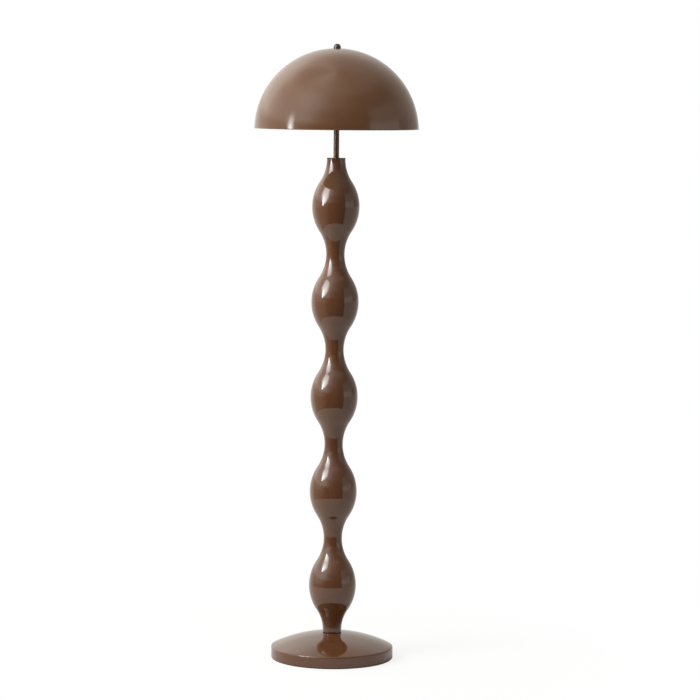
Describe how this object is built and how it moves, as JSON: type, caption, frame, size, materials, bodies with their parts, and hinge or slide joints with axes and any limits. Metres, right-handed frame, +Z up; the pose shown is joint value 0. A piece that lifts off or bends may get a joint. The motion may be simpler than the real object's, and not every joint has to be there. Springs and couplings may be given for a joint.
{
  "type": "floor lamp",
  "caption": "Floor lamp with a hemispherical metal shade on a thin stem, a lacquered column of turned beads and a wide domed round base.",
  "frame": {"origin": "on the floor at the middle of the round base", "axes": "+Z up along the column; -Y is the front, where the switch knob points; +Y is the rear, where the cord leaves the base"},
  "size_m": [0.4078, 0.4078, 1.5307],
  "materials": {
    "base_lacquer": "high-gloss brown lacquer",
    "column_lacquer": "turned wood under high-gloss brown lacquer",
    "shade_enamel": "satin brown enamel outside, off-white inside",
    "dark_bronze": "dark bronze plating",
    "finial_bronze": "dark bronze plating",
    "felt": "pressed felt",
    "cast_iron": "rough cast",
    "steel": "zinc plated",
    "harp_steel": "nickel plated",
    "plain_wood": "plain turned wood",
    "liner_fibre": "pressed fibre",
    "moulded_black": "moulded",
    "black_plastic": "moulded",
    "brass": "bright",
    "rubber": "matte",
    "bulb_metal": "rolled sheet",
    "bulb_insulator": "black glass",
    "bulb_glass": "opal glass"
  },
  "bodies": {
    "lamp": {"felt_pad": "felt", "base_weight": "cast_iron", "base_cover": "base_lacquer", "cord_bushing": "black_plastic", "base_nut": "steel", "lock_washer": "steel", "base_washer": "steel", "central_rod": "steel", "seat_ring": "dark_bronze", "column_bead_1": "column_lacquer", "column_bead_2": "column_lacquer", "column_bead_3": "column_lacquer", "column_bead_4": "column_lacquer", "column_bead_5": "column_lacquer", "neck_dowels": "plain_wood", "top_cap": "dark_bronze", "stem_tube": "dark_bronze", "stem_lock_nut": "dark_bronze", "harp_saddle": "harp_steel", "harp": "harp_steel", "holder_cap": "dark_bronze", "holder_set_screw": "steel", "holder_shell": "dark_bronze", "holder_liner": "liner_fibre", "holder_body": "moulded_black", "terminal_screws": "brass", "screw_shell": "brass", "centre_contact": "brass", "switch_collar": "brass"},
    "shade": {"harp_stud": "brass", "shade_pad": "rubber", "shade": "shade_enamel", "finial_washer": "brass"},
    "finial": {"finial": "finial_bronze"},
    "left_ferrule": {"harp_ferrule_left": "dark_bronze"},
    "right_ferrule": {"harp_ferrule_right": "dark_bronze"},
    "switch": {"switch_shaft": "brass", "switch_knob": "black_plastic"},
    "bulb": {"bulb_cap": "bulb_metal", "bulb_insulator": "bulb_insulator", "bulb_contact": "brass", "bulb_glass": "bulb_glass"}
  },
  "joints": [
    {"name": "shade_turn", "type": "hinge", "parent": "lamp", "child": "shade", "pos_m": [0, 0, 1.51], "axis": [0, 0, 1], "continuous": true},
    {"name": "finial_turn", "type": "hinge", "parent": "shade", "child": "finial", "pos_m": [0, 0, 1.525], "axis": [0, 0, 1], "continuous": true},
    {"name": "left_ferrule_slide", "type": "slide", "parent": "lamp", "child": "left_ferrule", "axis": [0, 0, 1], "range_m": [0, 0.012]},
    {"name": "right_ferrule_slide", "type": "slide", "parent": "lamp", "child": "right_ferrule", "axis": [0, 0, 1], "range_m": [0, 0.012]},
    {"name": "switch_turn", "type": "hinge", "parent": "lamp", "child": "switch", "pos_m": [0, -0.022, 1.36477], "axis": [0, -1, 0], "continuous": true},
    {"name": "bulb_turn", "type": "hinge", "parent": "lamp", "child": "bulb", "pos_m": [0, 0, 1.4], "axis": [0, 0, 1], "continuous": true}
  ]
}
